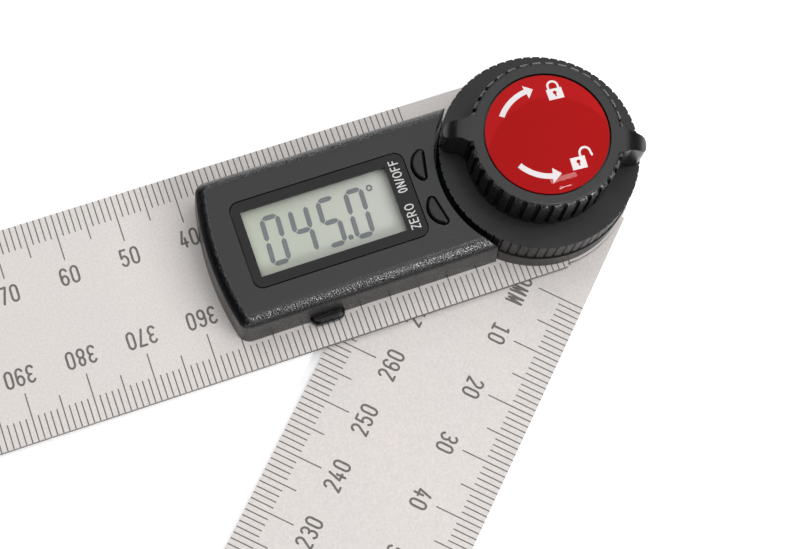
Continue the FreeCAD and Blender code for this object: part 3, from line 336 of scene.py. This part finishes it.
def circuit_green():
    """Solder mask with lighter tracks under it."""
    surface = Surface("circuit_green", (0.03, 0.16, 0.07), 0.35)
    tracks = surface.spread(surface.noise(1.2, 0.0, (1, 4, 1)), 0, 1, 0.5, 0.53)
    colour = surface.blend(tracks, (0.02, 0.12, 0.05), (0.05, 0.24, 0.10))
    surface.links.new(colour, surface.shader.inputs["Base Color"])
    return surface.relief(0.6, 0.01).material


STEEL = blade_steel()
DECK = deck_plastic()
DIAL = moulded("dial_plastic", (0.003, 0.003, 0.003), 0.45, 0.3, 0.012, 0.39)
KNOB = knob_plastic()
BASE = moulded("base_plastic", (0.004, 0.004, 0.004), 0.4, 0.4, 0.01, 0.4)
FRAME = moulded("frame_plastic", (0.002, 0.002, 0.002), 0.2, 0.8, 0.002, 0.28)
BUTTON = moulded("button_plastic", (0.003, 0.003, 0.003), 0.3, 0.3, 0.006, 0.36)
TRAY = moulded("tray_plastic", (0.001, 0.001, 0.001), 0.25, 0.3, 0.015, 0.3)
WINDOW = window_clear()
DISPLAY = display_face()
BADGE = badge_red()
BOLT = turned_metal("bolt_steel", (0.55, 0.55, 0.55), 0.3)
BLACKENED = turned_metal("blackened_steel", (0.12, 0.12, 0.125), 0.4)
BRASS = turned_metal("brass", (0.72, 0.52, 0.22), 0.3)
CONTACT = turned_metal("contact_metal", (0.72, 0.62, 0.38), 0.28)
CELL = turned_metal("cell_steel", (0.66, 0.66, 0.66), 0.25)
GREEN = circuit_green()
RUBBER = moulded("contact_rubber", (0.03, 0.03, 0.032), 0.8, 0.3, 0.01)
WASHER = moulded("washer_plastic", (0.8, 0.79, 0.75), 0.4, 0.5, 0.01)
PRINT = Surface("scale_print", (0.125, 0.115, 0.106), 0.6).tone(0.8, 0.15).material
SEGMENT = Surface("display_segment", (0.118, 0.13, 0.142), 0.6).tone(1.5, 0.06).material
WHITE = Surface("white_print", (0.56, 0.55, 0.54), 0.5).tone(1.0, 0.03).material
WHITE_UNDER_DOME = Surface(
    "white_under_dome", (0.73, 0.68, 0.685), 0.5, coat_weight=1.0, coat_roughness=0.02, coat_ior=1.14,
    specular_ior_level=0.1).tone(3.0, 0.02).material

FINISHES = {
    STEEL: ("lower_blade", "upper_blade"),
    DECK: ("housing_shell",),
    DIAL: ("dial",),
    BASE: ("base_ring", "housing_base"),
    KNOB: ("lock_knob",),
    FRAME: ("window_frame",),
    BUTTON: ("zero_button", "on_off_button"),
    TRAY: ("battery_tray", "board_connector"),
    WINDOW: ("display_window",),
    DISPLAY: ("display_panel",),
    BADGE: ("knob_badge",),
    BOLT: ("pivot_bolt", "pressure_washer", "button_switches"),
    BLACKENED: ("case_screws",),
    BRASS: ("pivot_bushing", "knob_insert"),
    CONTACT: ("battery_contacts",),
    CELL: ("coin_cell",),
    GREEN: ("circuit_board", "stator_board", "rotor_board"),
    RUBBER: ("contact_strips",),
    WASHER: ("thrust_washer",),
}

for finish, names in FINISHES.items():
    for name in names:
        for material_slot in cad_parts[name].material_slots:
            material_slot.material = finish


# Thin marks: scales, words and pictograms

def finished(name, mesh, material):
    """Makes an object of a mesh that was built up, and puts it in the scene."""
    bmesh.ops.recalc_face_normals(mesh, faces=mesh.faces)
    data = bpy.data.meshes.new(name)
    mesh.to_mesh(data)
    mesh.free()
    data.materials.append(material)
    made = bpy.data.objects.new(name, data)
    bpy.context.scene.collection.objects.link(made)
    return made


class Marks:
    """Thin raised marks on a surface, gathered into one mesh. height(x, y) is the surface under them."""

    def __init__(self, height, thickness=MARK_HEIGHT):
        self.height = height
        self.thickness = thickness
        self.mesh = bmesh.new()
        self.turn = 0

    def strip(self, sections, closed=False):
        """A thin solid between pairs of points, one pair for each section across it."""
        self.turn = (self.turn + 1) % 4
        lift = self.thickness * (1 + 0.15 * self.turn)
        rows = []
        for pair in sections:
            row = []
            for across, up in pair:
                base = self.height(across, up)
                row.append(self.mesh.verts.new((across * MM, up * MM, base * MM)))
                row.append(self.mesh.verts.new((across * MM, up * MM, (base + lift) * MM)))
            rows.append(row)
        count = len(rows) if closed else len(rows) - 1
        for index in range(count):
            here = rows[index]
            there = rows[(index + 1) % len(rows)]
            for low, high in ((1, 3), (2, 0), (0, 1), (3, 2)):
                self.mesh.faces.new((here[low], here[high], there[high], there[low]))
        if not closed:
            for row in (rows[0], rows[-1]):
                self.mesh.faces.new((row[0], row[1], row[3], row[2]))

    def stroke(self, points, width, closed=False):
        """A line of even width with round ends."""
        points = [Vector(point) for point in points]
        half = width / 2
        count = len(points)
        sections = []
        for index, point in enumerate(points):
            before = points[index - 1] if closed or index else point
            after = points[(index + 1) % count] if closed or index < count - 1 else point
            along = (after - before).normalized()
            side = Vector((-along.y, along.x)) * half
            sections.append((point + side, point - side))
        if not closed:
            sections = self.cap(points[0], points[1], half)[::-1] + sections
            sections += [(right, left) for left, right in self.cap(points[-1], points[-2], half)]
        self.strip(sections, closed)

    @staticmethod
    def cap(end, inner, half):
        """Sections that round off a line's end, from the end outwards."""
        along = (end - inner).normalized()
        side = Vector((along.y, -along.x))
        sections = []
        for angle in (30, 60, 85):
            reach = half * math.sin(math.radians(angle))
            spread = half * math.cos(math.radians(angle))
            middle = end + along * reach
            sections.append((middle + side * spread, middle - side * spread))
        return sections

    def piece(self, name, material, body, turn=0.0):
        """Makes the piece, turned about the pivot if asked, and fixes it to its body."""
        made = finished(name, self.mesh, material)
        made.data.transform(Matrix.Rotation(math.radians(turn), 4, "Z"))
        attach(made, body)


def arc(across, up, start, end, wide=0.5, high=0.5):
    """Points along an ellipse between two angles in degrees."""
    steps = max(3, round(abs(end - start) / 20))
    angles = [math.radians(start + (end - start) * step / steps) for step in range(steps + 1)]
    return [(across + wide * math.cos(angle), up + high * math.sin(angle)) for angle in angles]


def upside_down(strokes):
    """A glyph's strokes, turned by half a turn."""
    return [[(1 - across, 2 - up) for across, up in stroke] for stroke in strokes]


SIX = [
    arc(0.5, 0.55, 0, 360, 0.5, 0.55),
    [(0.0, 0.6), (0.0, 1.35)] + arc(0.5, 1.45, 180, 25, 0.5, 0.55),
]
GLYPHS = {
    "0": [arc(0.5, 1.5, 0, 180) + arc(0.5, 0.5, 180, 360) + [(1.0, 1.5)]],
    "1": [[(0.5, 2.0), (0.5, 0.0)], [(0.5, 2.0), (0.12, 1.88)], [(0.05, 0.06), (0.95, 0.0)]],
    "2": [arc(0.5, 1.5, 165, -35) + [(0.0, 0.0)], [(0.0, 0.0), (0.75, 0.0)]],
    "3": [arc(0.5, 1.5, 150, -70), arc(0.5, 0.53, 75, -150, 0.5, 0.53),
          [(0.42, 1.03), (0.66, 1.03)]],
    "4": [[(0.55, 2.0), (0.0, 0.5)], [(0.0, 0.5), (1.0, 0.5)], [(0.7, 1.1), (0.7, 0.0)]],
    "5": [[(0.85, 2.0), (0.1, 2.0)], [(0.1, 2.0), (0.05, 1.1)], arc(0.48, 0.62, 140, -150, 0.52, 0.62)],
    "6": SIX,
    "7": [[(0.0, 2.0), (1.0, 2.0)], [(1.0, 2.0), (0.3, 0.0)]],
    "8": [arc(0.5, 1.52, 0, 360, 0.42, 0.48), arc(0.5, 0.53, 0, 360, 0.5, 0.52)],
    "9": upside_down(SIX),
    "M": [[(0.0, 0.0), (0.1, 2.0)], [(0.1, 2.0), (0.5, 0.2)],
          [(0.5, 0.2), (0.9, 2.0)], [(0.9, 2.0), (1.0, 0.0)]],
    "Z": [[(0.0, 2.0), (1.0, 2.0)], [(1.0, 2.0), (0.0, 0.0)], [(0.0, 0.0), (1.0, 0.0)]],
    "E": [[(0.0, 2.0), (0.0, 0.0)], [(0.0, 2.0), (1.0, 2.0)],
          [(0.0, 1.05), (0.9, 1.05)], [(0.0, 0.0), (1.0, 0.0)]],
    "R": [[(0.0, 0.0), (0.0, 2.0)], [(0.0, 2.0), (0.45, 2.0)] + arc(0.45, 1.5, 80, -80) + [(0.0, 1.0)],
          [(0.45, 1.0), (1.0, 0.0)]],
    "O": [arc(0.5, 1.0, 0, 360, 0.5, 1.0)],
    "N": [[(0.0, 0.0), (0.0, 2.0)], [(0.0, 2.0), (1.0, 0.0)], [(1.0, 0.0), (1.0, 2.0)]],
    "F": [[(0.0, 2.0), (0.0, 0.0)], [(0.0, 2.0), (1.0, 2.0)], [(0.0, 1.05), (0.85, 1.05)]],
    "/": [[(0.0, 0.0), (1.0, 2.0)]],
}


def write_glyph(marks, glyph, centre, right, up, width, height, stroke):
    """Draws one glyph about its centre, with its own right and up directions."""
    for points in GLYPHS[glyph]:
        placed = [centre + right * ((across - 0.5) * width) + up * ((rise - 1.0) * height / 2)
                  for across, rise in points]
        closed = (placed[0] - placed[-1]).length < stroke / 10
        marks.stroke(placed[:-1] if closed else placed, stroke, closed)


def write_number(marks, text, centre, up, first_centred=False):
    """Writes a number of the scales; its top faces the edge that it belongs to."""
    right = Vector((up.y, -up.x))
    start = 0.0 if first_centred else -DIGIT_PITCH * (len(text) - 1) / 2
    for index, glyph in enumerate(text):
        place = centre + right * (start + DIGIT_PITCH * index)
        write_glyph(marks, glyph, place, right, up, DIGIT_WIDTH, DIGIT_HEIGHT, DIGIT_STROKE)


def tick_length(value):
    """Ticks are longest at each 10 mm and longer at each 5 mm."""
    if value % 10 == 0:
        return LONG_TICK
    return MIDDLE_TICK if value % 5 == 0 else SHORT_TICK


def draw_tick(marks, distance, value, side):
    """One line of a scale, from the blade's edge inwards."""
    edge = side * BLADE_WIDTH / 2
    inner = edge - side * tick_length(value)
    half = TICK_WIDTH / 2
    marks.strip([((-distance - half, up), (-distance + half, up)) for up in (edge, inner)])


def draw_scales(name, body, surface, outer_side, inner_step, inner_start, hidden, turn):
    """Both scales of a blade: the outer one counts from zero, and the inner one on from 300 by the pivot.
    Numbers nearer to the pivot than hidden lie under the housing or the pivot and are left out."""
    marks = Marks(lambda across, up: surface)
    for value in range(OUTER_COUNT + 1):
        distance = OUTER_START + value
        draw_tick(marks, distance, value, outer_side)
        if value % LABEL_STEP == 0 and distance > hidden and value < OUTER_COUNT:
            centre = Vector((-distance, outer_side * (BLADE_WIDTH / 2 - LABEL_INSET)))
            text = str(value) if value else "0MM"
            write_number(marks, text, centre, Vector((0, outer_side)), not value)
    for step in range(INNER_COUNT + 1):
        value = INNER_VALUE + inner_step * step
        distance = inner_start + step
        draw_tick(marks, distance, value, -outer_side)
        if value % LABEL_STEP == 0 and distance > hidden:
            centre = Vector((-distance, outer_side * (LABEL_INSET - BLADE_WIDTH / 2)))
            write_number(marks, str(value), centre, Vector((0, -outer_side)))
    marks.piece(name, PRINT, body, turn)


draw_scales("lower_scales", "lower_arm", LOWER_TOP, -1, -1, 0.0, 17.0, OPENING_ANGLE)
draw_scales("upper_scales", "upper_arm", UPPER_TOP, 1, 1, -0.35, HOUSING_END - 1.0, 0.0)


# The display's figures

SEGMENTS = {
    "a": ((-1, 1), (1, 1)), "b": ((1, 1), (1, 0)), "c": ((1, 0), (1, -1)), "d": ((-1, -1), (1, -1)),
    "e": ((-1, 0), (-1, -1)), "f": ((-1, 1), (-1, 0)), "g": ((-1, 0), (1, 0)),
}
FIGURES = {"0": "abcdef", "4": "bcfg", "5": "acdfg"}


def draw_segment(marks, centre, start, end):
    """One slanted bar of a figure, pointed at both ends."""
    first, last = (Vector((side * LCD_HALF_WIDTH, rise * LCD_HALF_HEIGHT)) for side, rise in (start, end))
    along = (last - first).normalized()
    side = Vector((-along.y, along.x)) * LCD_STROKE / 2
    gap = along * LCD_GAP
    point = along * (LCD_GAP + LCD_STROKE / 2)
    sections = []
    for place, share in ((first + gap, LCD_POINT), (first + point, 1.0),
                         (last - point, 1.0), (last - gap, LCD_POINT)):
        pair = (place + side * share, place - side * share)
        sections.append([(centre + spot.x + LCD_SLANT * spot.y, spot.y) for spot in pair])
    marks.strip(sections)


def draw_display():
    """The reading 045.0 with its degree mark."""
    marks = Marks(lambda across, up: PANEL_TOP, 0.03)
    for index, figure in enumerate("0450"):
        for segment in FIGURES[figure]:
            draw_segment(marks, FIRST_DIGIT + LCD_PITCH * index, *SEGMENTS[segment])
    outline = ((-0.42, 0.1), (-0.3, 0.36), (0, 0.44), (0.3, 0.36), (0.42, 0.1))
    marks.strip([[(LCD_DOT.x + reach, LCD_DOT.y + side * spread) for side in (1, -1)]
                 for reach, spread in outline])
    marks.stroke(arc(-27.9, 3.45, 0, 345, 0.38, 0.42), 0.3, True)
    marks.piece("display_figures", SEGMENT, "upper_arm")


draw_display()


# Words on the window frame

WORDS = [
    ("Z", -5.42, 0.62), ("E", -4.4, 0.62), ("R", -3.25, 0.68), ("O", -2.03, 0.85),
    ("O", 0.92, 0.52), ("N", 1.93, 0.66), ("/", 2.78, 0.28), ("O", 3.68, 0.82),
    ("F", 4.76, 0.58), ("F", 5.81, 0.58),
]
WORD_MIDDLE = -23.15
WORD_HEIGHT = 1.4
WORD_STROKE = 0.19


def draw_words():
    """Names of the two buttons, read towards +Y."""
    level = top_of("window_frame")
    marks = Marks(lambda across, up: level)
    for glyph, place, width in WORDS:
        centre = Vector((WORD_MIDDLE, place))
        write_glyph(marks, glyph, centre, Vector((0, 1)), Vector((-1, 0)), width, WORD_HEIGHT, WORD_STROKE)
    marks.piece("frame_words", WHITE, "upper_arm")


draw_words()


# Pictograms on the knob's disc

def dome_height(across, up):
    """Height of the domed disc, less a little, so that flat marks bed into it."""
    return BADGE_TOP - BADGE_BOW + math.sqrt(BADGE_BOW ** 2 - across ** 2 - up ** 2) - BADGE_BED


def draw_arrow(marks, radius, width, tail, neck, head, tip):
    """A curved arrow about the pivot: angles in degrees, head as the radii of its two barbs."""
    sections = []
    for step in range(ARROW_STEPS + 1):
        angle = math.radians(tail + (neck - tail) * step / ARROW_STEPS)
        direction = Vector((math.cos(angle), math.sin(angle)))
        sections.append((direction * (radius + width / 2), direction * (radius - width / 2)))
    marks.strip(sections)
    angle = math.radians(neck)
    direction = Vector((math.cos(angle), math.sin(angle)))
    barbs = [direction * reach for reach in head]
    point = Vector(tip)
    halfway = [(barb * 0.5 + point * 0.5) for barb in barbs]
    sliver = [barb * 0.02 + point * 0.98 for barb in barbs]
    marks.strip([barbs, halfway, sliver])


def lock_point(centre, spot):
    """A place on a padlock, which stands a little tilted about its centre."""
    across, up = spot
    cosine, sine = math.cos(LOCK_TILT), math.sin(LOCK_TILT)
    return Vector(centre) + Vector((across * cosine - up * sine, across * sine + up * cosine))


def draw_lock(marks, holes, centre, half_width, half_height, shackle):
    """A padlock: body, shackle and keyhole."""
    marks.strip([[lock_point(centre, (half_width * step, rise)) for rise in (half_height, -half_height)]
                 for step in (-1, -0.33, 0.33, 1)])
    marks.stroke([lock_point(centre, spot) for spot in shackle], 0.36)
    hole = [lock_point(centre, spot) for spot in arc(0, 0.22, 0, 330, 0.16, 0.16)]
    holes.stroke(hole, 0.3, True)
    holes.stroke([lock_point(centre, (0, 0.1)), lock_point(centre, (0.06, -0.38))], 0.24)


def draw_pictograms():
    """Two arrows and two padlocks: clockwise locks, the other way unlocks."""
    marks = Marks(dome_height, BADGE_MARK)
    holes = Marks(lambda across, up: dome_height(across, up) + 0.02, BADGE_MARK)
    draw_arrow(marks, 7.65, 0.88, 141, 97, (8.77, 6.35), (0.36, 7.59))
    draw_arrow(marks, 7.1, 0.86, -149.5, -104.5, (8.27, 5.81), (-0.27, -6.88))
    closed = [(-0.82, 0.8), (-0.82, 1.35)] + arc(0, 1.4, 165, 15, 0.82, 0.82)
    closed += [(0.82, 1.35), (0.82, 0.8)]
    draw_lock(marks, holes, (3.46, 5.79), 1.27, 0.93, closed)
    opened = [(0.56, 0.8), (0.56, 1.3)] + arc(1.45, 1.38, 170, 10, 0.89, 0.89)
    opened += [(2.36, 1.2), (2.45, 0.85)]
    draw_lock(marks, holes, (2.88, -6.14), 1.22, 0.97, opened)
    marks.piece("badge_pictograms", WHITE_UNDER_DOME, "knob")
    holes.piece("badge_keyholes", BADGE, "knob")


draw_pictograms()


# The tray's front

def draw_tray_front():
    """Skirt of the battery tray: it fills the slot flush with the leaning wall."""
    low, high = (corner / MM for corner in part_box("battery_tray"))
    wall_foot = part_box("housing_shell")[0].y / MM
    mesh = bmesh.new()
    foot, head = UPPER_TOP + SKIRT_FOOT, high.z + SKIRT_REACH
    lean = math.tan(math.radians(WALL_LEAN))
    outline = [(wall_foot + (height - UPPER_TOP) * lean + SKIRT_INSET, height) for height in (foot, head)]
    inside = outline[1][0] + SKIRT_THICK
    outline += [(inside, head), (inside, foot)]
    rows = [[mesh.verts.new((across * MM, up * MM, height * MM)) for up, height in outline]
            for across in (low.x - SKIRT_REACH, high.x + SKIRT_REACH)]
    count = len(rows[0])
    for index in range(count):
        after = (index + 1) % count
        mesh.faces.new((rows[0][index], rows[0][after], rows[1][after], rows[1][index]))
    mesh.faces.new(rows[0])
    mesh.faces.new(rows[1][::-1])
    front = finished("tray_front", mesh, DECK)
    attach(front, "tray")


draw_tray_front()


# Floor, lights and camera

def add_floor():
    """A plain pale floor just under the lower blade."""
    mesh = bpy.data.meshes.new("floor")
    corners = [(across * FLOOR_HALF, up * FLOOR_HALF, -FLOOR_DROP * MM)
               for across, up in ((-1, -1), (1, -1), (1, 1), (-1, 1))]
    mesh.from_pydata(corners, [], [(0, 1, 2, 3)])
    paper = Surface("floor_white", (0.93, 0.93, 0.93), 0.7,
                    emission_color=(1, 1, 1, 1), emission_strength=0.3)
    mesh.materials.append(paper.tone(300.0, 0.01).material)
    floor = bpy.data.objects.new("floor", mesh)
    bpy.context.scene.collection.objects.link(floor)


def add_lamp(name, place, length, width, power):
    """A flat lamp that shines straight down. Lengths are metres and power is watts."""
    data = bpy.data.lights.new(name, "AREA")
    data.shape = "RECTANGLE"
    data.size = length
    data.size_y = width
    data.energy = power
    lamp = bpy.data.objects.new(name, data)
    lamp.location = place
    bpy.context.scene.collection.objects.link(lamp)
    return lamp


def add_panel(name, direction, distance, length, width, power):
    """A soft panel that faces the pivot from this direction."""
    place = Vector(direction).normalized() * distance
    panel = add_lamp(name, place, length, width, power)
    panel.rotation_euler = (-place).to_track_quat("-Z", "Y").to_euler()


def add_world(strength):
    """Even white light from all around."""
    world = bpy.data.worlds.new("studio")
    world.use_nodes = True
    background = next(node for node in world.node_tree.nodes if node.type == "BACKGROUND")
    background.inputs["Color"].default_value = (1, 1, 1, 1)
    background.inputs["Strength"].default_value = strength
    bpy.context.scene.world = world


def add_camera():
    """The photograph's camera, aimed and then rolled."""
    data = bpy.data.cameras.new("camera")
    data.lens = CAMERA_LENS
    data.clip_start = 0.01
    camera = bpy.data.objects.new("camera", data)
    level = (CAMERA_AIM - CAMERA_PLACE).to_track_quat("-Z", "Y").to_matrix().to_4x4()
    roll = Matrix.Rotation(math.radians(CAMERA_ROLL), 4, "Z")
    camera.matrix_world = Matrix.Translation(CAMERA_PLACE * MM) @ level @ roll
    bpy.context.scene.collection.objects.link(camera)
    bpy.context.scene.camera = camera


add_floor()
add_world(0.05)
add_panel("overhead", (0.03, 0.2, 0.97), 1.3, 2.1, 2.1, 21.0)
add_panel("side", (0.55, 0.75, 0.35), 1.3, 1.2, 0.7, 3.0)
add_panel("strip", (0.42, -0.68, 0.6), 1.0, 0.8, 0.14, 7.0)
add_lamp("glint", (0.181, -0.005, 0.72), 0.12, 0.021, 0.27)
add_lamp("sliver", (0.175, -0.036, 0.72), 0.056, 0.0035, 0.045)
add_camera()
bpy.context.scene.view_settings.view_transform = "Standard"
